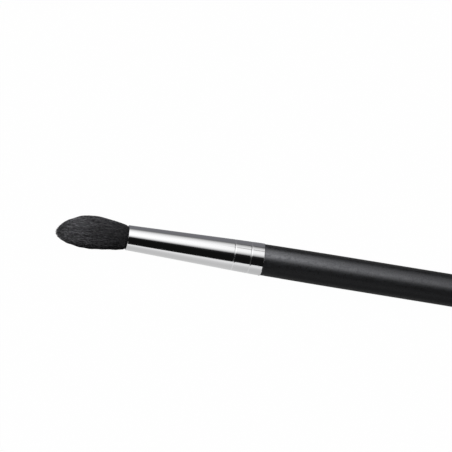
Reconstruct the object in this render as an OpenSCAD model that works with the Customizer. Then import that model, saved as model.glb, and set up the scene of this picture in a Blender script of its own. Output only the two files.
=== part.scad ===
// Tapered eyeshadow brush, lying on its side: tuft towards -X, tail towards +X.
// Millimetres. The origin is on the surface it lies on, below the middle of its length.

/* [Tuft] */
// Length of the hair from the ferrule's mouth to its tip
head_length = 21.5; // [16:0.5:28]
// Width of the tuft at its belly
belly_d = 10.1; // [8.4:0.1:12.4]
// Distance from the ferrule's mouth to the belly
belly_reach = 11; // [8:0.5:13.5]
// Width of the hair where it spreads over the ferrule's edge
collar_d = 7.3; // [5.8:0.1:8.2]
// How far the tip hangs below the brush's axis
tip_droop = 1.6; // [0:0.1:2.5]
// Turn of that droop about the axis, from straight down towards the front
droop_turn = 55; // [0:5:90]
// Number of strands
strand_count = 320; // [300:10:330]
// Least gap between neighbouring strands
strand_gap = 0.05; // [0.03:0.01:0.1]

/* [Root] */
// Depth below the mouth at which the hair is set in resin
glue_line = 2.5; // [1.5:0.25:4]
// Thickness of the resin slice that holds the strands
slice_t = 1.2; // [0.8:0.1:2]
// Depth below the mouth at which the hair's root ends
root_depth = 12.5; // [10:0.5:15]
// Thickness of the tie thread
thread_d = 0.3; // [0.2:0.05:0.5]
// Number of turns of the tie thread
thread_turns = 5; // [3:1:7]
// Distance from the root's end to the first turn of the thread
thread_inset = 2; // [1:0.25:3]
// Length of the resin plug behind the root
plug_length = 4.5; // [3:0.5:6]
// Depth of the hollow that the resin sets with at its open end
plug_dish = 0.8; // [0.2:0.1:1.4]

/* [Ferrule] */
// Length of the ferrule
ferrule_length = 41.2; // [36:0.2:50]
// Outside width of the ferrule's mouth
mouth_d = 7.5; // [6.4:0.02:8.8]
// Outside width where the cone ends and the sleeve begins
sleeve_d = 9.32; // [8:0.01:10.8]
// Outside width of the ferrule's back edge
back_d = 9.74; // [8.4:0.02:11.2]
// Length of the sleeve that grips the handle
sleeve_length = 9.5; // [8:0.1:12]
// Thickness of the metal
wall = 0.35; // [0.25:0.01:0.45]
// Rounding of the mouth's and the back edge's outer corner
edge_round = 0.12; // [0.06:0.01:0.16]
// Distance from the back edge to the first crimp ring
crimp_near = 3.9; // [3:0.1:5]
// Distance from the back edge to the second crimp ring
crimp_far = 8.9; // [7.2:0.1:11]
// Width of a crimp ring
crimp_w = 0.62; // [0.4:0.02:0.9]
// Depth of a crimp ring
crimp_depth = 0.03; // [0.02:0.005:0.12]

/* [Handle] */
// Length of the handle behind the ferrule
handle_length = 115; // [90:1:140]
// Width of the straight part of the handle
grip_d = 9.7; // [8:0.1:11.6]
// Distance from the ferrule to the straight part
swell_length = 24; // [16:1:30]
// Length of the straight part
grip_length = 36; // [26:1:44]
// Width of the tail where its rounded end begins
tail_d = 5.2; // [4:0.1:6.6]
// Length of the tail's rounded end
tail_round = 2.9; // [2:0.1:3.6]
// Step between the ferrule's back edge and the handle's shoulder
shoulder_step = 0.16; // [0.04:0.01:0.2]
// Easing of the shoulder's corner
shoulder_ease = 0.04; // [0.02:0.01:0.08]
// Length of the tenon inside the ferrule
tenon_length = 15; // [11:0.5:19]
// Chamfer on the tenon's front end
tenon_chamfer = 0.8; // [0.4:0.1:1.2]
// Length of the bare front end that the glue doesn't reach
tenon_bare = 2; // [1.5:0.1:3]
// Thickness of the glue film round the tenon
glue_film = 0.1; // [0.06:0.01:0.16]
// Clearance between pieces that are bonded or pressed together
seat_gap = 0.02; // [0.01:0.005:0.04]

/* [Hidden] */
$fn = 96;
mouth_r = mouth_d / 2;
sleeve_r = sleeve_d / 2;
back_r = back_d / 2;
belly_r = belly_d / 2;
collar_r = collar_d / 2;
grip_r = grip_d / 2;
tail_r = tail_d / 2;
cone_length = ferrule_length - sleeve_length;
tenon_start = ferrule_length - tenon_length;
handle_end = ferrule_length + handle_length;
total_length = head_length + handle_end;
axis_height = max(belly_r, grip_r, back_r);
mouth_x = head_length - total_length / 2;
crimp_places = [ferrule_length - crimp_far, ferrule_length - crimp_near];
// Exponents of the tuft's outline, from its mouth to its belly and from there to its tip
flare_power = 1.3;
nose_power = 1.8;
nose_blunt = 0.57;
droop_power = 2.1;
// Share of the belly's spread that the hair has lost at the tip
converge_share = 0.5;
// Share of the way to the belly at which a strand has its third ring
flare_ring_share = 0.35;
// Share of its thickness at the belly that a strand has at its last ring
last_ring_share = 0.85;
// Strands stand a golden angle apart, the last ones on the bundle's rim. Their least spacing is
// the packing share of its radius.
golden_turn = 137.508;
rim_strands = 12;
spacing_share = 1.54;
packing_share = spacing_share / sqrt(strand_count);
halvings = 16;
crimp_steps = 8;
curve_steps = 12;
round_steps = 6;
slice_sides = 48;

// Puts what is drawn along +Z, from the ferrule's mouth at zero towards the tail, on the brush's axis.
module along_axis() {
    translate([mouth_x, 0, axis_height]) rotate([0, 90, 0]) children();
}

// Outline of a solid of revolution as [radius, place] points.
module revolve(outline) {
    rotate_extrude() polygon(outline);
}

// How deep the crimp rings press the wall in at a place behind the mouth.
function crimp_dent(s) = max([for (c = crimp_places)
    abs(s - c) < crimp_w / 2 ? crimp_depth * (1 + cos(360 * (s - c) / crimp_w)) / 2 : 0]);

// Outside radius of the ferrule, its bore, and what is bonded in that bore, at a place behind the mouth.
function cone_r(s) = s < cone_length
    ? mouth_r + (sleeve_r - mouth_r) * s / cone_length
    : sleeve_r + (back_r - sleeve_r) * (s - cone_length) / sleeve_length;
function shell_r(s) = cone_r(s) - crimp_dent(s);
function bore_r(s) = shell_r(s) - wall;
function filling_r(s) = bore_r(s) - seat_gap;

// Places between two ends at which the ferrule's wall bends, in order.
function wall_places(from, to) = [
    from,
    if (from < cone_length && cone_length < crimp_places[0] - crimp_w / 2) cone_length,
    for (c = crimp_places, i = [0 : crimp_steps])
        let (s = c + crimp_w * (i / crimp_steps - 1 / 2)) if (s > from && s < to) s,
    to
];

// Radius of the tuft's outline at a distance from the mouth, and how far its middle hangs there.
function nose(t) = pow(max(0, 1 - pow(t, nose_power)), nose_blunt);
function nose_place(u) = max(0, (u - belly_reach) / (head_length - belly_reach));
function tuft_r(u) = u < belly_reach
    ? belly_r - (belly_r - collar_r) * pow(1 - u / belly_reach, flare_power)
    : belly_r * nose(nose_place(u));
function droop(u) = tip_droop * pow(nose_place(u), droop_power);

// Share of the belly's spread that the hair keeps towards the tip.
function spread(t) = 1 - converge_share * t * t;

// Where between the belly and the tip a strand meets the outline, for its share of the tuft's radius.
function end_place(share, low = 0, high = 1, left = halvings) = left == 0 ? low
    : let (mid = (low + high) / 2) nose(mid) > share * spread(mid)
        ? end_place(share, mid, high, left - 1)
        : end_place(share, low, mid, left - 1);

// Outside radius of the whole bundle, which keeps spreading past the outline that cuts it to length.
function bundle_r(u) = u <= 0 ? filling_r(0)
    : u < belly_reach ? tuft_r(u)
    : belly_r * spread(nose_place(u));

// Thickness of a strand that leaves the strand gap in a bundle of this radius.
function strand_d(r) = (packing_share * r - strand_gap) / (1 + packing_share / 2);

// Centre of a strand of thickness d at a distance from the mouth. Its share and turn say where it
// stands in the bundle.
function strand_point(u, d, share, turn) =
    let (r = share * (bundle_r(u) - d / 2), hang = droop(u))
    [r * cos(turn) + hang * cos(droop_turn), r * sin(turn) - hang * sin(droop_turn), -u];

// Three corners of a strand round that centre.
function strand_ring(u, d, share, turn) = [for (k = [0 : 2])
    strand_point(u, d, share, turn) + d / 2 * [cos(turn + 120 * k), sin(turn + 120 * k), 0]];

// One strand: a three-sided needle from inside the resin slice to its point on the tuft's outline.
module strand(share, turn) {
    end_u = belly_reach + (head_length - belly_reach) * end_place(share);
    flare_u = belly_reach * flare_ring_share;
    stations = [
        [-glue_line - slice_t / 2, strand_d(bundle_r(0))],
        [0, strand_d(bundle_r(0))],
        [flare_u, strand_d(bundle_r(flare_u))],
        [(flare_u + end_u) / 2, strand_d(belly_r) * last_ring_share]
    ];
    rings = len(stations);
    points = concat(
        [for (s = stations) each strand_ring(s[0], s[1], share, turn)],
        [strand_point(end_u, 0, share, turn)]
    );
    sides = [for (j = [0 : rings - 2], k = [0 : 2])
        let (a = 3 * j + k, b = 3 * j + (k + 1) % 3) each [[a, b, b + 3], [a, b + 3, a + 3]]];
    tip = [for (k = [0 : 2])
        [3 * (rings - 1) + k, 3 * (rings - 1) + (k + 1) % 3, 3 * rings]];
    polyhedron(points, concat([[2, 1, 0]], sides, tip));
}

// Hair that shows, with the slice of resin that its roots are set in. The whole is drawn to full length.
module bristle_tuft() {
    color("#2b2b2d") along_axis() resize([0, 0, head_length + glue_line + slice_t]) union() {
        translate([0, 0, glue_line])
            cylinder(h = slice_t, r = filling_r(glue_line), $fn = slice_sides);
        for (i = [1 : strand_count])
            strand(min(1, sqrt((i - 1 / 2) / (strand_count - rim_strands))),
                (strand_count - i) * golden_turn);
    }
}

// Packed hair below the slice, soaked with resin, with the groove that the thread pulls into it.
module root_pack() {
    start = glue_line + slice_t + seat_gap;
    groove_end = root_depth - thread_inset;
    groove_start = groove_end - thread_turns * thread_d;
    edge = thread_d / 2;
    groove_r = filling_r(groove_start) - thread_d;
    color("#3a342c") along_axis() revolve([
        [0, start],
        [filling_r(start), start],
        [filling_r(groove_start - edge), groove_start - edge],
        [groove_r, groove_start],
        [groove_r, groove_end],
        [filling_r(groove_end + edge), groove_end + edge],
        [filling_r(root_depth), root_depth],
        [0, root_depth]
    ]);
}

// Waxed thread that ties the bundle, its turns lying side by side in the root's groove.
module tie_thread() {
    last = root_depth - thread_inset;
    first = last - thread_turns * thread_d;
    seat_r = bore_r(first) - thread_d;
    color("#d8d2c2") along_axis() revolve(concat(
        [[seat_r, last], [seat_r, first]],
        [for (n = [0 : thread_turns - 1], i = [0 : round_steps]) if (n == 0 || i > 0)
            let (a = 180 * i / round_steps)
            [seat_r + thread_d * (1 + sin(a)) / 2 - seat_gap,
                first + thread_d * (n + (1 - cos(a)) / 2)]]
    ));
}

// Clear resin behind the root, bonded to the ferrule, with the hollow that it sets with.
module resin_plug() {
    start = root_depth;
    end = root_depth + plug_length;
    color("#b9964f", 0.9) along_axis() revolve(concat(
        [[0, start], [filling_r(start), start]],
        [for (i = [0 : curve_steps]) let (inward = i / curve_steps)
            [filling_r(end) * (1 - inward), end - plug_dish * sin(90 * inward)]]
    ));
}

// Plated brass ferrule: one wall of even thickness, drawn to a cone and crimped on to the tenon.
module ferrule() {
    places = wall_places(edge_round, ferrule_length - edge_round);
    mouth_edge = [for (i = [0 : round_steps]) let (a = 90 * i / round_steps)
        [shell_r(0) - edge_round * (1 - sin(a)), edge_round * (1 - cos(a))]];
    back_edge = [for (i = [0 : round_steps]) let (a = 90 * i / round_steps)
        [shell_r(ferrule_length) - edge_round * (1 - cos(a)),
            ferrule_length - edge_round * (1 - sin(a))]];
    color("#c9c9cc") along_axis() revolve(concat(
        mouth_edge,
        [for (s = places) if (s > edge_round && s < ferrule_length - edge_round) [shell_r(s), s]],
        back_edge,
        [[bore_r(ferrule_length), ferrule_length]],
        [for (i = [len(places) - 1 : -1 : 0]) [bore_r(places[i]), places[i]]],
        [[bore_r(0), 0]]
    ));
}

// Film of glue between the tenon and the sleeve. It ends short of the tenon's chamfered front.
module tenon_glue() {
    places = wall_places(tenon_start + tenon_bare, ferrule_length - seat_gap);
    color("#cdb98a") along_axis() revolve(concat(
        [for (s = places) [filling_r(s), s]],
        [for (i = [len(places) - 1 : -1 : 0]) [filling_r(places[i]) - glue_film, places[i]]]
    ));
}

// Radius of the tenon, which is pressed in under the crimp rings as the wall is.
function tenon_r(s) = filling_r(s) - glue_film - seat_gap;

// Turned wooden handle in one piece: tenon, shoulder, slow swell, straight grip, taper and rounded tail.
module handle() {
    shoulder_r = back_r - shoulder_step;
    grip_start = ferrule_length + swell_length;
    taper_start = grip_start + grip_length;
    taper_end = handle_end - tail_round;
    // The rounded end starts at the angle at which it carries on the taper's slope.
    tail_slope = PI / 2 * (grip_r - tail_r) / (taper_end - taper_start) * tail_round / tail_r;
    tail_start = asin(tail_slope / (1 - tail_slope));
    tenon_places = wall_places(tenon_start + tenon_chamfer, ferrule_length);
    color("#26272a") along_axis() revolve(concat(
        [[0, tenon_start], [tenon_r(tenon_start) - tenon_chamfer, tenon_start]],
        [for (s = tenon_places) [tenon_r(s), s]],
        [[shoulder_r - shoulder_ease, ferrule_length], [shoulder_r, ferrule_length + shoulder_ease]],
        [for (i = [1 : curve_steps]) let (t = i / curve_steps)
            [shoulder_r + (grip_r - shoulder_r) * sin(90 * t), ferrule_length + swell_length * t]],
        [for (i = [0 : curve_steps]) let (t = i / curve_steps)
            [tail_r + (grip_r - tail_r) * cos(90 * t), taper_start + (taper_end - taper_start) * t]],
        [for (i = [1 : curve_steps]) let (a = tail_start + (90 - tail_start) * i / curve_steps)
            [tail_r * cos(a) / cos(tail_start),
                taper_end + tail_round * (sin(a) - sin(tail_start)) / (1 - sin(tail_start))]]
    ));
}

bristle_tuft();
root_pack();
tie_thread();
resin_plug();
ferrule();
tenon_glue();
handle();
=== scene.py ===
import math
import random

import bpy
from mathutils import Matrix, Vector
from mathutils.kdtree import KDTree


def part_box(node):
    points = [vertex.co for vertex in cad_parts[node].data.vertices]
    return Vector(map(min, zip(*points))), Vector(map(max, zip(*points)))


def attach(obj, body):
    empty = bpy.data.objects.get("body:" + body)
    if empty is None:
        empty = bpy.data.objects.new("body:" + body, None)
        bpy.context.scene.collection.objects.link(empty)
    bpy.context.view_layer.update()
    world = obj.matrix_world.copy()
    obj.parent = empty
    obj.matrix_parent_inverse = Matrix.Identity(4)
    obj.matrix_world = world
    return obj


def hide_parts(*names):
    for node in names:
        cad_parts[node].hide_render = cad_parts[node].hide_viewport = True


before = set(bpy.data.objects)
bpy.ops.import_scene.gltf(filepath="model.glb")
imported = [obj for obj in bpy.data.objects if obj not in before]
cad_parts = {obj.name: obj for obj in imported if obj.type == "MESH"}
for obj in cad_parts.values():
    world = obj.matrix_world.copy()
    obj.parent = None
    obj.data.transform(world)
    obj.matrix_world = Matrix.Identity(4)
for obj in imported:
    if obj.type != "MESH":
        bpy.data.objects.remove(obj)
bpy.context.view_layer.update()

# Sizes are in metres, and places in the frame: the tuft points to -X, the tail to +X, and +Z is up.
MM = 0.001
TURN = 2 * math.pi

# The ferrule's box gives the brush's axis and the mouth that the hair comes out of.
FERRULE_LOW, FERRULE_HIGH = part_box("ferrule")
TUFT_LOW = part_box("bristle_tuft")[0]
AXIS_HEIGHT = (FERRULE_LOW.z + FERRULE_HIGH.z) / 2
MOUTH_X = FERRULE_LOW.x
HANDLE_FRONT = FERRULE_HIGH.x
HEAD_LENGTH = MOUTH_X - TUFT_LOW.x
MOUTH = Vector((MOUTH_X, 0, AXIS_HEIGHT))


# Camera

# From the photograph: how high it looks from, how far the brush's axis leans away from it,
# the axis's slope across the picture, and the scale and the pixel of the ferrule's mouth.
CAMERA_RISE = math.radians(57)
AXIS_LEAN = math.radians(7.8)
AXIS_SLOPE = math.radians(9.27)
PICTURE = 452
PIXELS_PER_MM = 3.354
MOUTH_PIXEL = (126.9, 237.55)
LENS = 1000
SENSOR = 36
NEAREST, FARTHEST = 0.01, 20


def view_axes():
    """The directions towards the camera, to the picture's right and to its top."""
    across = math.cos(AXIS_LEAN)
    towards = Vector(
        (-math.sin(AXIS_LEAN), -across * math.cos(CAMERA_RISE), across * math.sin(CAMERA_RISE))
    )
    along = (Vector((1, 0, 0)) - towards.x * towards).normalized()
    over = towards.cross(along)
    right = math.cos(AXIS_SLOPE) * along + math.sin(AXIS_SLOPE) * over
    return towards, right, towards.cross(right)


def place_camera():
    """A long lens at the photograph's angle, with the ferrule's mouth on its pixel."""
    towards, right, up = view_axes()
    pixel = MM / PIXELS_PER_MM
    data = bpy.data.cameras.new("camera")
    data.lens = LENS
    data.sensor_width = SENSOR
    data.clip_start = NEAREST
    data.clip_end = FARTHEST
    camera = bpy.data.objects.new("camera", data)
    middle_right = (PICTURE / 2 - MOUTH_PIXEL[0]) * pixel
    middle_up = (MOUTH_PIXEL[1] - PICTURE / 2) * pixel
    distance = PICTURE * pixel * LENS / SENSOR
    camera.location = MOUTH + middle_right * right + middle_up * up + distance * towards
    camera.rotation_mode = "QUATERNION"
    camera.rotation_quaternion = Matrix(list(zip(right, up, towards))).to_quaternion()
    bpy.context.scene.collection.objects.link(camera)
    bpy.context.scene.camera = camera


# Shader maths


class Wire:
    """A socket in a material. Python's operators on it add Math nodes."""

    def __init__(self, socket):
        self.socket = socket

    def maths(self, operation, first, second):
        tree = self.socket.id_data
        return add_node(tree, "ShaderNodeMath", {"operation": operation}, {0: first, 1: second})

    def __add__(self, other):
        return self.maths("ADD", self, other)

    def __sub__(self, other):
        return self.maths("SUBTRACT", self, other)

    def __rsub__(self, other):
        return self.maths("SUBTRACT", other, self)

    def __mul__(self, other):
        return self.maths("MULTIPLY", self, other)

    __radd__ = __add__
    __rmul__ = __mul__


def add_node(tree, kind, settings=None, sockets=None, output=0):
    """A node with its settings, then the values or wires of its sockets. Gives the wire that leaves it."""
    made = tree.nodes.new(kind)
    for name, value in (settings or {}).items():
        setattr(made, name, value)
    for name, value in (sockets or {}).items():
        if isinstance(value, Wire):
            tree.links.new(value.socket, made.inputs[name])
        else:
            made.inputs[name].default_value = value
    return Wire(made.outputs[output]) if made.outputs else None


class Finish:
    """One material, or the world: its nodes, and the shader that they feed."""

    def __init__(self, name, owner=None):
        self.owner = owner or bpy.data.materials.new(name)
        self.owner.use_nodes = True
        self.tree = self.owner.node_tree
        self.tree.nodes.clear()

    def node(self, kind, settings=None, sockets=None, output=0):
        return add_node(self.tree, kind, settings, sockets, output)

    def place(self):
        """Where the point is on the object, in metres."""
        return self.node("ShaderNodeTexCoord", output="Object")

    def place_along(self, axis):
        return self.node("ShaderNodeSeparateXYZ", None, {0: self.place()}, output=axis)

    def stretched(self, along, across):
        """That place, multiplied along the brush and across it."""
        factors = (along, across, across)
        return self.node("ShaderNodeVectorMath", {"operation": "MULTIPLY"}, {0: self.place(), 1: factors})

    def noise(self, place, scale=1.0, detail=2.0):
        return self.node("ShaderNodeTexNoise", None, {"Vector": place, "Scale": scale, "Detail": detail})

    def between(self, factor, low, high):
        """A colour between two, by a factor."""
        settings = {"data_type": "RGBA", "clamp_factor": True}
        ends = {"Factor": factor, 6: (*low, 1), 7: (*high, 1)}
        return self.node("ShaderNodeMix", settings, ends, output=2)

    def spread(self, value, low, high, to_low=0.0, to_high=1.0, kind="LINEAR"):
        """A value's stretch from low to high, as one from to_low to to_high."""
        ends = {"Value": value, "From Min": low, "From Max": high, "To Min": to_low, "To Max": to_high}
        return self.node("ShaderNodeMapRange", {"interpolation_type": kind}, ends)

    def eased(self, value, low, high):
        """0 at low and before it, and 1 at high and past it, with a smooth way between them."""
        return self.spread(value, low, high, kind="SMOOTHSTEP")

    def bump(self, height):
        """A normal from a height in metres."""
        return self.node("ShaderNodeBump", None, {"Height": height, "Distance": 1.0})

    def glow(self, strength, colour=(1, 1, 1)):
        return self.node("ShaderNodeEmission", None, {"Color": (*colour, 1), "Strength": strength})

    def mixed(self, factor, first, second):
        return self.node("ShaderNodeMixShader", None, {"Fac": factor, 1: first, 2: second})

    def glow_between(self, factor, first, second):
        return self.mixed(factor, self.glow(first), self.glow(second))

    def rays(self):
        """1 for the camera's own rays, and 1 for those that metal or glass sends on."""
        camera = self.node("ShaderNodeLightPath", output="Is Camera Ray")
        glossy = self.node("ShaderNodeLightPath", output="Is Glossy Ray")
        through = self.node("ShaderNodeLightPath", output="Is Transmission Ray")
        return camera, glossy.maths("MAXIMUM", glossy, through)

    def close(self, shader, kind="ShaderNodeOutputMaterial"):
        self.node(kind, None, {"Surface": shader})
        return self.owner

    def surface(self, **sockets):
        """Ends the material with one Principled shader. Underscores in the names stand for spaces."""
        named = {name.replace("_", " "): value for name, value in sockets.items()}
        return self.close(self.node("ShaderNodeBsdfPrincipled", None, named))


# Finishes

# Hair is packed at the ferrule and open at its tip. Its colour holds painted shade where it is packed,
# painted light where it opens, and painted glints and gaps between single hairs. How open it counts as at
# the ferrule, then how strong its painted glints and gaps, its painted light and its tones are: what
# opening adds, and what packed hair has already.
PACKED_OPEN = 0.18
PAINTED_GLINTS_OPENING, PAINTED_GLINTS_PACKED = 0.45, 0.05
PAINTED_LIGHT_OPENING, PAINTED_LIGHT_PACKED = 0.31, 0.06
TONES_OPENING, TONES_PACKED = 0.85, 0.15
# The shade that the tones are drawn to where they are weak, and how bright all of the hair is.
EVEN_SHADE = 0.06
HAIR_GAIN = 5.2
SHADOW_PACKED_OPEN = 0.2

# The plating: how high its drawing lines, streaks and wander stand, and how much a streak brightens it.
LINE_HEIGHT, STREAK_HEIGHT, WANDER_HEIGHT = 0.0000003, 0.0000008, 0.000008
STREAK_GAIN = 0.27
# The crimp rings: their distances from the ferrule's back edge, how far the roller's scuffs and a painted
# glint reach, how much rougher the scuffs leave the plating, and how much the painted glint brightens it.
CRIMP_NEAR, CRIMP_FAR = 3.9 * MM, 8.9 * MM
SCUFF_AND_GLINT_REACH = 0.26 * MM
SCUFF_ROUGHER, RING_GLINT_GAIN = 0.18, 0.4

PEBBLE_HEIGHT = 0.03 * MM
THREAD_LAY_HEIGHT = 0.02 * MM


def grey(level, blue=1.06):
    return (level, level, level * blue)


def dyed_and_shaded_hair(name, shade):
    """Hair dyed charcoal, with painted shade that darkens it at the ferrule and painted light that pales
    it towards its tip.
    """
    hair = Finish(name)
    # The noise paints glints and gaps between single hairs. The stretch from the ferrule paints shade
    # there and light at the tip.
    glint_and_gap = hair.spread(hair.noise(hair.stretched(along=1100, across=3000)), low=0.35, high=0.65)
    opened = hair.spread(hair.place_along(0), MOUTH_X, TUFT_LOW.x, PACKED_OPEN, 1.0)
    painted_light = glint_and_gap * (PAINTED_GLINTS_OPENING * opened + PAINTED_GLINTS_PACKED) + PAINTED_LIGHT_OPENING * opened + PAINTED_LIGHT_PACKED
    tone = EVEN_SHADE + (shade - EVEN_SHADE) * (TONES_OPENING * opened + TONES_PACKED)
    return hair.surface(
        Base_Color=hair.between(HAIR_GAIN * painted_light * tone, grey(0), grey(1)),
        Roughness=0.6,
        Specular_IOR_Level=0.0,
    )


def hair_shadow():
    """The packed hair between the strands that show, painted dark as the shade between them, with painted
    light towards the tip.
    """
    hair = Finish("hair_shadow")
    streak = hair.noise(hair.stretched(along=300, across=5000), detail=1)
    opened = hair.spread(hair.place_along(0), MOUTH_X, TUFT_LOW.x, SHADOW_PACKED_OPEN, 1.0)
    return hair.surface(Base_Color=hair.between(streak * opened, grey(0.008), grey(0.16)), Roughness=0.8)


def bright_plating():
    """Polished plating over drawn brass: fine lines along the tube, a faint wander, and scuffed rings with
    a painted glint.
    """
    plating = Finish("bright_plating")
    x = plating.place_along(0)
    away = [x.maths("ABSOLUTE", x - (HANDLE_FRONT - ring), 0) for ring in (CRIMP_NEAR, CRIMP_FAR)]
    scuff_and_glint = plating.eased(x.maths("MINIMUM", *away), SCUFF_AND_GLINT_REACH, 0)
    lines = plating.noise(plating.stretched(along=30, across=7000), detail=3)
    streak = plating.noise(plating.stretched(along=25, across=1800), detail=1)
    wander = plating.noise(plating.stretched(along=130, across=240), detail=1)
    # The brightening at the rings is a painted glint. The streaks belong to the polish itself.
    brighter = STREAK_GAIN * streak + RING_GLINT_GAIN * scuff_and_glint
    rougher = plating.spread(lines, low=0.3, high=0.7, to_low=0.05, to_high=0.1)
    return plating.surface(
        Base_Color=plating.between(brighter, grey(0.56, blue=1.01), grey(0.78, blue=1.01)),
        Metallic=1.0,
        Roughness=rougher + SCUFF_ROUGHER * scuff_and_glint,
        Normal=plating.bump(lines * LINE_HEIGHT + streak * STREAK_HEIGHT + wander * WANDER_HEIGHT),
    )


def satin_lacquer():
    """Satin black lacquer, with the fine pebble that it dries to."""
    lacquer = Finish("satin_lacquer")
    pebble = lacquer.noise(lacquer.stretched(along=1600, across=1500), detail=5)
    mottle = lacquer.noise(lacquer.place(), scale=1500)
    return lacquer.surface(
        Base_Color=lacquer.between(mottle, grey(0.013), grey(0.018)),
        Roughness=lacquer.spread(pebble, low=0.37, high=0.63, to_low=0.52, to_high=0.22),
        Specular_IOR_Level=1.0,
        Specular_Tint=(0.86, 0.89, 1.0, 1),
        Coat_Weight=lacquer.spread(pebble, low=0.37, high=0.63, to_low=0.5, to_high=1.0),
        Coat_Roughness=0.3,
        Coat_IOR=2.0,
        Normal=lacquer.bump(pebble * PEBBLE_HEIGHT),
    )


def cast_resin():
    """Clear amber resin, clouded where air was stirred in."""
    resin = Finish("cast_resin")
    cloud = resin.noise(resin.place(), scale=600, detail=3)
    return resin.surface(
        Base_Color=resin.between(cloud, (0.42, 0.24, 0.06), (0.62, 0.42, 0.16)), Roughness=0.2
    )


def soaked_root():
    """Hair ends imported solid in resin."""
    root = Finish("soaked_root")
    ends = root.noise(root.stretched(along=200, across=5000), detail=1)
    return root.surface(
        Base_Color=root.between(ends, (0.02, 0.017, 0.013), (0.08, 0.07, 0.055)), Roughness=0.35
    )


def waxed_thread():
    """Waxed cotton, with the lay of its yarns."""
    thread = Finish("waxed_thread")
    lay = thread.noise(thread.place(), scale=5000)
    return thread.surface(
        Base_Color=thread.between(lay, (0.55, 0.5, 0.38), (0.75, 0.7, 0.58)),
        Roughness=0.7,
        Normal=thread.bump(lay * THREAD_LAY_HEIGHT),
    )


def set_glue():
    """A thin film of set glue."""
    glue = Finish("set_glue")
    cloud = glue.noise(glue.place(), scale=900)
    return glue.surface(
        Base_Color=glue.between(cloud, (0.55, 0.44, 0.24), (0.7, 0.6, 0.38)), Roughness=0.5
    )


def dress_cad_nodes():
    finishes = {
        "ferrule": bright_plating(),
        "handle": satin_lacquer(),
        "root_pack": soaked_root(),
        "tie_thread": waxed_thread(),
        "resin_plug": cast_resin(),
        "tenon_glue": set_glue(),
    }
    for name, material in finishes.items():
        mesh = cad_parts[name].data
        mesh.materials.clear()
        mesh.materials.append(material)


# Hair

# The tuft's outline, by the distance from the ferrule's mouth: it swells from the lip to its belly
# and rounds off to its tip, and its middle droops from where the hair leaves the stiff neck.
BELLY_RADIUS = AXIS_HEIGHT - TUFT_LOW.z
COLLAR_RADIUS = 3.56 * MM
NECK_RADIUS = 3.28 * MM
LIP_REACH = 0.7 * MM
ROOT_REACH = 1 * MM
BELLY_REACH = 11 * MM
FLARE_POWER = 1.45
NOSE_POWER = 1.55
NOSE_BLUNT = 0.52
CONVERGE_SHARE = 0.7
TIP_DROOP = 1.62 * MM
DROOP_REACH = 5 * MM
DROOP_POWER = 2.55
DROOP_TURN = math.radians(55)
DROOP = Vector((0, -math.sin(DROOP_TURN), -math.cos(DROOP_TURN)))

# How many strands start between two shares of the tuft's radius, and the tones that they come in.
STRANDS = {(0, 0.72): 2600, (0.72, 0.9): 1700, (0.9, 1.0): 2200}
TONES = {"dark_hair": 0.034, "charcoal_hair": 0.052, "smoky_hair": 0.076, "ashen_hair": 0.11}
TONE_SHARES = (0.27, 0.28, 0.25, 0.2)
SEED = 11

# Strands gather into wisps, which wave over and under each other and end at their own lengths.
# The ferrule holds them, so their waves grow over a stretch from its mouth.
GOLDEN_TURN = math.radians(137.508)
WISPS = 420
WISP_UNEVEN = 0.2 * MM
WISP_RISE = (0.03 * MM, 0.09 * MM)
WISP_SWAY = (0.05 * MM, 0.18 * MM)
WISP_WAVE = (3 * MM, 6.5 * MM)
WISP_HELD = 3 * MM
GATHER = 0.5

# A strand's own size: it ends a little short of the outline, and tapers over its last stretch.
STRAND_SIDES = 3
STRAND_RADIUS = (0.038 * MM, 0.056 * MM)
STRAND_SHORT, STRAND_UNEVEN = 0.35 * MM, 0.18 * MM
TAPER, TAPER_LENGTH = 0.45, 6 * MM
RING_SPACING = 1 * MM
FEWEST_RINGS = 3
HALVINGS = 20
FLOOR_GAP = 0.02 * MM
# Strands further in than this share of the radius are hidden at their roots, so they start further on.
ROOTED_SHARE = 0.7
INNER_START, INNER_LENGTH = 1 * MM, 9 * MM

# A strand's own waves, and its own tone where it doesn't take its wisp's. A loose one waves further.
OWN_TONE = 0.7
OWN_WAVE = (2.5 * MM, 5 * MM)
OWN_SWAY, OWN_RISE = 0.06 * MM, 0.03 * MM
OWN_HELD = 2 * MM
LOOSE_SHARE = 0.05
LOOSE_SWAY, LOOSE_RISE = 0.35 * MM, 0.07 * MM
LOOSE_WAVE_GAIN = 2

# The core of packed hair lies below the strands, less deep at the ferrule's lip.
CORE_INSET = 0.32 * MM
CORE_LIP_SHARE = 0.3
CORE_LIP_REACH = 2 * MM
CORE_SHORTER = 1.1 * MM
CORE_THINNEST = 0.02 * MM
CORE_RINGS, CORE_SIDES = 40, 48


def eased(value):
    value = min(1.0, max(0.0, value))
    return value * value * (3 - 2 * value)


def nose_place(u):
    """Share of the way from the belly to the tip."""
    return max(0.0, (u - BELLY_REACH) / (HEAD_LENGTH - BELLY_REACH))


def swell(u):
    """Radius of the hair between the ferrule's mouth and the belly."""
    outside = BELLY_RADIUS - (BELLY_RADIUS - COLLAR_RADIUS) * (1 - max(u, 0) / BELLY_REACH) ** FLARE_POWER
    return NECK_RADIUS + (outside - NECK_RADIUS) * eased(u / LIP_REACH)


def outline_radius(u):
    if u < BELLY_REACH:
        return swell(u)
    return BELLY_RADIUS * max(0.0, 1 - nose_place(u) ** NOSE_POWER) ** NOSE_BLUNT


def bundle_radius(u):
    """Radius that the strands are spread over, before the outline cuts them to length."""
    if u < BELLY_REACH:
        return swell(u)
    return BELLY_RADIUS * (1 - CONVERGE_SHARE * nose_place(u) ** 2)


def tuft_middle(u):
    droop = max(0.0, (u - DROOP_REACH) / (HEAD_LENGTH - DROOP_REACH)) ** DROOP_POWER
    return MOUTH + Vector((-u, 0, 0)) + DROOP * TIP_DROOP * droop


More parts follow.
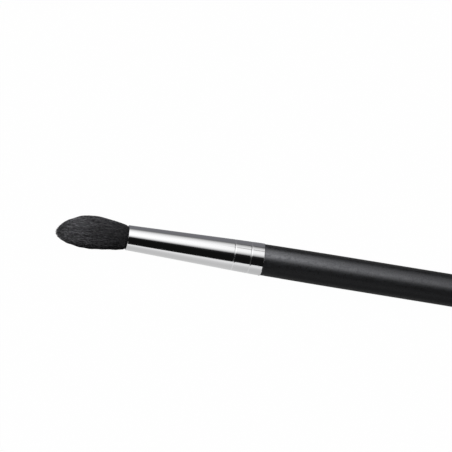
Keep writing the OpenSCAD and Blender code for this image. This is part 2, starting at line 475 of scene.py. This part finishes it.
def around(angle):
    """A step of length 1 across the brush."""
    return Vector((0, math.cos(angle), math.sin(angle)))


def strand_end(share):
    """Distance from the mouth at which a strand at this share of the radius meets the outline."""
    low, high = BELLY_REACH, HEAD_LENGTH
    for _ in range(HALVINGS):
        half = (low + high) / 2
        if outline_radius(half) > share * bundle_radius(half):
            low = half
        else:
            high = half
    return low


class Wisp:
    """A gathering of strands: its place across the tuft, its tone, its waves and its length."""

    def __init__(self, chance, number):
        turn = number * GOLDEN_TURN
        self.out = around(turn)
        self.side = Vector((0, -math.sin(turn), math.cos(turn)))
        self.place = math.sqrt((number + 0.5) / WISPS) * self.out
        self.tone = chance.choices(list(TONES), TONE_SHARES)[0]
        self.longer = chance.gauss(0, WISP_UNEVEN)
        self.rise = chance.uniform(*WISP_RISE)
        self.sway = chance.uniform(*WISP_SWAY)
        self.wave = chance.uniform(*WISP_WAVE)
        self.phases = chance.uniform(0, TURN), chance.uniform(0, TURN)

    def waver(self, u):
        """How far the wisp's waves carry it from its straight way."""
        rise = self.rise * math.sin(self.phases[0] + TURN * u / self.wave)
        sway = self.sway * math.sin(self.phases[1] + TURN * u / self.wave)
        return eased(u / WISP_HELD) * (rise * self.out + sway * self.side)


def ring_places(start, end):
    """Distances from the mouth at which a strand's rings stand, closer together at the ferrule's lip."""
    places = [-ROOT_REACH, 0, LIP_REACH] if start < 0 else [start]
    first = places[-1]
    count = max(FEWEST_RINGS, round((end - first) / RING_SPACING))
    return places + [first + (end - first) * (i + 1) / count for i in range(count)]


def hair_strand(chance, place, wisp):
    """A strand's points and radii. It leaves the ferrule with the bundle and gathers to its wisp."""
    reach = strand_end(min(place.length, 1)) - STRAND_SHORT
    end = min(reach + wisp.longer + chance.gauss(0, STRAND_UNEVEN), HEAD_LENGTH)
    start = -ROOT_REACH if place.length > ROOTED_SHARE else max(INNER_START, end - INNER_LENGTH)
    thickness = chance.uniform(*STRAND_RADIUS)
    loose = chance.random() < LOOSE_SHARE
    own_sway = chance.gauss(0, LOOSE_SWAY if loose else OWN_SWAY)
    own_rise = chance.gauss(0, LOOSE_RISE if loose else OWN_RISE)
    own_wave = chance.uniform(*OWN_WAVE) * (LOOSE_WAVE_GAIN if loose else 1)
    own_phase = chance.uniform(0, TURN)
    points, radii = [], []
    for u in ring_places(start, end):
        across = place.lerp(wisp.place, GATHER * eased(u / end))
        point = tuft_middle(u) + bundle_radius(u) * across + wisp.waver(u)
        own = math.sin(own_phase + TURN * u / own_wave) * eased(u / OWN_HELD)
        point += own * (own_sway * wisp.side + own_rise * wisp.out)
        radius = thickness * (1 - TAPER * eased((u - end + TAPER_LENGTH) / TAPER_LENGTH))
        point.z = max(point.z, radius + FLOOR_GAP)
        points.append(point)
        radii.append(radius)
    return points, radii


def strand_corners(points, radii):
    """The corners of the rings round a strand, and its tip."""
    corners = []
    side = None
    for i, radius in enumerate(radii[:-1]):
        way = (points[i + 1] - points[max(i - 1, 0)]).normalized()
        side = (side - side.dot(way) * way).normalized() if side else way.orthogonal().normalized()
        other = way.cross(side)
        for k in range(STRAND_SIDES):
            angle = TURN * k / STRAND_SIDES
            corners.append(points[i] + radius * (math.cos(angle) * side + math.sin(angle) * other))
    return corners + [points[-1]]


def strand_faces(first, rings):
    """The faces between those corners: a tube that is closed at its root and pointed at its tip."""
    faces = []
    for j in range(rings - 1):
        for k in range(STRAND_SIDES):
            a = first + j * STRAND_SIDES + k
            b = first + j * STRAND_SIDES + (k + 1) % STRAND_SIDES
            faces.append((a, b, b + STRAND_SIDES, a + STRAND_SIDES))
    last = first + (rings - 1) * STRAND_SIDES
    tip = first + rings * STRAND_SIDES
    faces += [(last + k, last + (k + 1) % STRAND_SIDES, tip) for k in range(STRAND_SIDES)]
    return faces + [tuple(first + k for k in reversed(range(STRAND_SIDES)))]


def add_piece(name, vertices, faces, material):
    mesh = bpy.data.meshes.new(name)
    mesh.from_pydata(vertices, [], faces)
    mesh.materials.append(material)
    mesh.shade_smooth()
    piece = bpy.data.objects.new(name, mesh)
    bpy.context.scene.collection.objects.link(piece)
    return piece


def join_strands(name, strands, material):
    """One mesh of all the strands in a tone."""
    vertices, faces = [], []
    for points, radii in strands:
        faces += strand_faces(len(vertices), len(points) - 1)
        vertices += strand_corners(points, radii)
    return add_piece(name, vertices, faces, material)


def comb_tuft():
    """Every strand of the tuft, in one piece for each tone."""
    chance = random.Random(SEED)
    wisps = [Wisp(chance, number) for number in range(WISPS)]
    tree = KDTree(WISPS)
    for number, wisp in enumerate(wisps):
        tree.insert(wisp.place, number)
    tree.balance()
    strands = {name: [] for name in TONES}
    for (low, high), count in STRANDS.items():
        for _ in range(count):
            share = math.sqrt(chance.uniform(low ** 2, high ** 2))
            place = share * around(chance.uniform(0, TURN))
            wisp = wisps[tree.find(place)[1]]
            own_tone = chance.choices(list(TONES), TONE_SHARES)[0]
            tone = own_tone if chance.random() < OWN_TONE else wisp.tone
            strands[tone].append(hair_strand(chance, place, wisp))
    return [join_strands(name, strands[name], dyed_and_shaded_hair(name, shade)) for name, shade in TONES.items()]


def pack_core():
    """The closed body of packed hair below the strands that show."""
    vertices, faces = [], []
    length = HEAD_LENGTH - CORE_SHORTER
    for j in range(CORE_RINGS + 1):
        u = -ROOT_REACH + (length + ROOT_REACH) * j / CORE_RINGS
        ahead = HEAD_LENGTH / length * max(u, 0)
        inset = CORE_INSET * (CORE_LIP_SHARE + (1 - CORE_LIP_SHARE) * eased(u / CORE_LIP_REACH))
        radius = max(CORE_THINNEST, outline_radius(ahead) - inset)
        for k in range(CORE_SIDES):
            vertices.append(tuft_middle(u) + radius * around(TURN * k / CORE_SIDES))
    for j in range(CORE_RINGS):
        for k in range(CORE_SIDES):
            a, b = j * CORE_SIDES + k, j * CORE_SIDES + (k + 1) % CORE_SIDES
            faces.append((a, a + CORE_SIDES, b + CORE_SIDES, b))
    faces.append(tuple(range(CORE_SIDES)))
    faces.append(tuple(CORE_RINGS * CORE_SIDES + k for k in reversed(range(CORE_SIDES))))
    return add_piece("hair_core", vertices, faces, hair_shadow())


def make_tuft():
    pieces = comb_tuft() + [pack_core()]
    for piece in pieces:
        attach(piece, "root")
    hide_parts("bristle_tuft")


# Studio

# The floor: its own colour, then the share and the strength of the glow that the camera sees, and of
# the one that reflections see.
FLOOR_REACH = 4
FLOOR_COLOUR = 0.06
FLOOR_WHITE, FLOOR_GLOW = 0.93, 1.065
FLOOR_GLOSS_WHITE, FLOOR_GLOSS_GLOW = 0.5, 1.32

# What matt surfaces get from the world: a faint fill, and a bright patch overhead.
WORLD_FILL, WORLD_CROWN = 0.045, 3.5
CROWN_DIRECTION = Vector((-0.6, 0.25, 0.9)).normalized()
CROWN_LOW, CROWN_HIGH = 0.6, 0.95

# The softbox hangs over the head. Its light starts, is full and fades over its depth (Y), and is
# even, dims and ends over its length (X).
SOFTBOX_RADIANCE = 1.7
SOFTBOX_SPILL = 0.016
SOFTBOX_HEIGHT = 0.15
SOFTBOX_FRONT, SOFTBOX_START, SOFTBOX_FULL = -0.1, -0.069, 0.014
SOFTBOX_FADE, SOFTBOX_BACK = 0.02, 0.3
SOFTBOX_BACK_SHARE = 0.13
SOFTBOX_LEFT, SOFTBOX_EVEN, SOFTBOX_DIM, SOFTBOX_RIGHT = -0.32, -0.045, 0.07, 0.6
SOFTBOX_FALL = 0.7
# Its left end, past the tuft, is hotter.
SOFTBOX_HOT, SOFTBOX_WARMING, SOFTBOX_HOT_GAIN = -0.08, -0.05, 0.35
# As the ferrule reflects it, its front edge bends back towards the handle. For the handle it comes
# forward again.
SOFTBOX_BEND_START, SOFTBOX_BEND, SOFTBOX_BEND_END = -0.05, -0.006, 0.006
SOFTBOX_BEND_BACK, SOFTBOX_BEND_FRONT = 0.012, 0.038
# For the handle its back is shaded. A dim seam runs through it, and starts over the ferrule's end.
SOFTBOX_SHADED, SOFTBOX_SHADED_BACK = 0.25, 0.08
SEAM_START, SEAM_END = -0.027, -0.014
SEAM_FRONT, SEAM_MIDDLE, SEAM_BACK = 0.062, 0.077, 0.092
SEAM_DEPTH = 0.7

# Cards that only reflections see. They stand at one distance before and behind the brush, and change
# on the line that parts what the ferrule and the handle reflect.
CARD_DISTANCE = 0.3
CARD_REACH = 1.2
CARD_LIFT = 0.0001
SPLIT_START = 0.0045
SPLIT_X = HANDLE_FRONT + (CARD_DISTANCE - SPLIT_START) * math.tan(AXIS_LEAN)
FRONT_RISE, BACK_RISE = math.radians(64), math.radians(33)
FRONT_HEIGHT, BACK_HEIGHT = CARD_DISTANCE * math.tan(FRONT_RISE), CARD_DISTANCE * math.tan(BACK_RISE)
# The black card is paler where the handle's far end in the picture reflects it, and black again beyond.
BLACK_GLOW = (0.0085, 0.085)
BLACK_END, BLACK_PALE, BLACK_PALE_END, BLACK_AGAIN = 0.0025, 0.009, 0.0095, 0.0135
GREY_COLOUR = (0.252, 0.252, 0.272)
DIM_GLOW = 0.03
# Away from the brush, the dark card grows weaker and the pale one brighter.
DARK_GLOW = (0.1, 0.05)
DARK_NEAR, DARK_FAR = 0.0055, 0.012
PALE_GLOW = (0.85, 1.22)
PALE_NEAR, PALE_FAR = 0.011, 0.04
PALE_EVEN, PALE_SHADED, PALE_SHADE = -0.042, -0.027, 0.08
# Where the sheets on the floor start, and the pale ramp that stands at the far edge of the pale one.
GREY_START, PALE_START = 0.006, 0.003
RAMP_START, RAMP_END, RAMP_HEIGHT = -0.04, 0.001, 0.041
# How high the flags on that line are at their near and far ends, and how far apart they stand.
FLAG_FRONT, FLAG_BACK, FLAG_BLACK = (0.006, 0.045), (0.008, 0.2), (0.009, 0.05)
FLAG_SHIFT = 0.0003


def flat_card(name, corners, material):
    piece = add_piece(name, corners, [tuple(range(len(corners)))], material)
    return piece


def lay_floor():
    floor = Finish("pale_floor")
    camera, gloss = floor.rays()
    matt = floor.node("ShaderNodeBsdfDiffuse", None, {"Color": (*grey(FLOOR_COLOUR, blue=1), 1)})
    reflected = floor.mixed(gloss * FLOOR_GLOSS_WHITE, matt, floor.glow(FLOOR_GLOSS_GLOW))
    seen = floor.mixed(camera * FLOOR_WHITE, reflected, floor.glow(FLOOR_GLOW))
    corners = [(x * FLOOR_REACH, y * FLOOR_REACH, 0) for x, y in ((-1, -1), (1, -1), (1, 1), (-1, 1))]
    flat_card("floor", corners, floor.close(seen))


def set_world():
    """White to the camera and in reflections. Matt surfaces are lit by it mostly from overhead."""
    world = bpy.data.worlds.new("studio")
    bpy.context.scene.world = world
    studio = Finish("studio", world)
    camera, gloss = studio.rays()
    seen = camera.maths("MAXIMUM", camera, gloss)
    direction = studio.node("ShaderNodeTexCoord", output="Generated")
    ends = {0: direction, 1: CROWN_DIRECTION}
    rise = studio.node("ShaderNodeVectorMath", {"operation": "DOT_PRODUCT"}, ends, output=1)
    fill = WORLD_FILL + WORLD_CROWN * studio.eased(rise, CROWN_LOW, CROWN_HIGH)
    strength = seen * (1 - fill) + fill
    sky = studio.node("ShaderNodeBackground", None, {"Color": (1, 1, 1, 1), "Strength": strength})
    studio.close(sky, "ShaderNodeOutputWorld")


def softbox_light():
    """Brightest straight above the brush, with a soft front edge, and weaker along the handle."""
    box = Finish("softbox")
    x, y = box.place_along(0), box.place_along(1)
    for_handle = box.eased(x, SOFTBOX_BEND, SOFTBOX_BEND_END)
    seam = box.eased(y, SEAM_FRONT, SEAM_MIDDLE) * box.eased(y, SEAM_BACK, SEAM_MIDDLE)
    seam = seam * box.eased(x, SEAM_START, SEAM_END)
    y = y - SOFTBOX_BEND_BACK * box.spread(x, SOFTBOX_BEND_START, SOFTBOX_BEND)
    y = y + SOFTBOX_BEND_FRONT * for_handle
    short = box.spread(y, SOFTBOX_START, SOFTBOX_FULL, 1.0, 0.0)
    faded = (1 - SOFTBOX_BACK_SHARE) * box.eased(y, SOFTBOX_FADE, SOFTBOX_BACK)
    shaded = SOFTBOX_SHADED * for_handle * box.eased(y, 0, SOFTBOX_SHADED_BACK)
    front = 1 - short * (short + for_handle * (1 - short))
    lit = front * (1 - faded) * (1 - shaded) * (1 - SEAM_DEPTH * seam)
    hot = SOFTBOX_HOT_GAIN * (1 - box.eased(x, SOFTBOX_HOT, SOFTBOX_WARMING))
    lit = lit * (1 + hot - SOFTBOX_FALL * box.eased(x, SOFTBOX_EVEN, SOFTBOX_DIM))
    hottest = 1 + SOFTBOX_HOT_GAIN
    return box.close(box.glow_between(lit * (1 / hottest), SOFTBOX_SPILL, SOFTBOX_RADIANCE * hottest))


def hang_softbox():
    z = AXIS_HEIGHT + SOFTBOX_HEIGHT
    corners = [
        (SOFTBOX_LEFT, SOFTBOX_FRONT, z),
        (SOFTBOX_LEFT, SOFTBOX_BACK, z),
        (SOFTBOX_RIGHT, SOFTBOX_BACK, z),
        (SOFTBOX_RIGHT, SOFTBOX_FRONT, z),
    ]
    card = flat_card("softbox", corners, softbox_light())
    card.visible_camera = False
    card.visible_diffuse = False


def black_light():
    """Black for the ferrule's dark band, paler for the handle's dark side."""
    black = Finish("black_card")
    x, y, z = [black.place_along(axis) for axis in range(3)]
    ahead = x - HANDLE_FRONT
    past_ferrule = ahead * ahead - math.tan(AXIS_LEAN) ** 2 * (y * y + z * z)
    paler = black.spread(past_ferrule, BLACK_END, BLACK_PALE)
    paler = paler * black.spread(past_ferrule, BLACK_AGAIN, BLACK_PALE_END)
    return black.close(black.glow_between(paler, *BLACK_GLOW))


def dark_light():
    """Dark grey, for the lower side of the handle."""
    dark = Finish("dark_card")
    beyond = dark.spread(dark.place_along(1), -DARK_NEAR, -DARK_FAR)
    return dark.close(dark.glow_between(beyond, *DARK_GLOW))


def pale_light():
    """Almost white, for the lower side of the ferrule, and a little shaded towards the handle."""
    pale = Finish("pale_card")
    x, y = pale.place_along(0), pale.place_along(1)
    further = pale.spread(y, -PALE_NEAR, -PALE_FAR)
    shade = PALE_SHADE * pale.eased(x + math.tan(AXIS_LEAN) * y, PALE_EVEN, PALE_SHADED)
    return pale.close(pale.mixed(shade, pale.glow_between(further, *PALE_GLOW), pale.glow(0.0)))


def even_light(name, strength, colour=(1, 1, 1)):
    even = Finish(name)
    return even.close(even.glow(strength, colour))


def standing(x_low, x_high, y, height):
    """Corners of a card that stands along the brush."""
    return [(x_low, y, 0), (x_high, y, 0), (x_high, y, height), (x_low, y, height)]


def lying(*places):
    """Corners of a sheet on the floor."""
    return [(x, y, CARD_LIFT) for x, y in places]


def flag(shift, side, near_height, far_height):
    """Corners of a card on the line which parts what the ferrule and the handle reflect."""
    near = (HANDLE_FRONT + shift, side * SPLIT_START)
    far = (SPLIT_X + shift, side * CARD_DISTANCE)
    return [(*near, 0), (*far, 0), (*far, far_height), (*near, near_height)]


def stand_cards():
    """Black before the brush, grey and dim behind it, sheets on the floor, flags on the parting line."""
    black, dark = black_light(), dark_light()
    dim = even_light("dim_card", DIM_GLOW)
    grey_light = even_light("grey_card", 1.0, GREY_COLOUR)
    pale = pale_light()
    far = CARD_DISTANCE
    grey_sheet = lying(
        (-CARD_REACH, GREY_START), (HANDLE_FRONT, GREY_START), (SPLIT_X, far), (-CARD_REACH, far)
    )
    pale_sheet = lying(
        (-CARD_REACH, -PALE_START),
        (-CARD_REACH, -far),
        (SPLIT_X, -far),
        (HANDLE_FRONT, -SPLIT_START),
        (HANDLE_FRONT, -PALE_START),
    )
    dark_sheet = lying(
        (HANDLE_FRONT, -SPLIT_START),
        (SPLIT_X, -far),
        (CARD_REACH, -far),
        (CARD_REACH, far),
        (SPLIT_X, far),
        (HANDLE_FRONT, SPLIT_START),
    )
    before_front = CARD_LIFT - far
    pale_ramp = [
        (RAMP_START, before_front, 0),
        (SPLIT_X, before_front, 0),
        (SPLIT_X, before_front, RAMP_HEIGHT),
        (RAMP_END, before_front, RAMP_HEIGHT),
    ]
    cards = [
        flat_card("front_card", standing(-CARD_REACH, CARD_REACH, -far, FRONT_HEIGHT), black),
        flat_card("back_card", standing(-CARD_REACH, SPLIT_X, far, BACK_HEIGHT), grey_light),
        flat_card("dark_back_card", standing(SPLIT_X, CARD_REACH, far, BACK_HEIGHT), dim),
        flat_card("grey_sheet", grey_sheet, grey_light),
        flat_card("dark_sheet", dark_sheet, dark),
        flat_card("pale_sheet", pale_sheet, pale),
        flat_card("pale_ramp", pale_ramp, pale),
        flat_card("front_flag", flag(FLAG_SHIFT, -1, *FLAG_FRONT), dark),
        flat_card("black_flag", flag(FLAG_SHIFT / 2, -1, *FLAG_BLACK), black),
        flat_card("back_flag", flag(FLAG_SHIFT, 1, *FLAG_BACK), dim),
        flat_card("pale_flag", flag(0, -1, *FLAG_FRONT), pale),
        flat_card("grey_flag", flag(0, 1, *FLAG_BACK), grey_light),
    ]
    for card in cards:
        card.visible_camera = False
        card.visible_diffuse = False
        card.visible_shadow = False


place_camera()
dress_cad_nodes()
make_tuft()
lay_floor()
set_world()
hang_softbox()
stand_cards()
bpy.context.scene.view_settings.view_transform = "Standard"
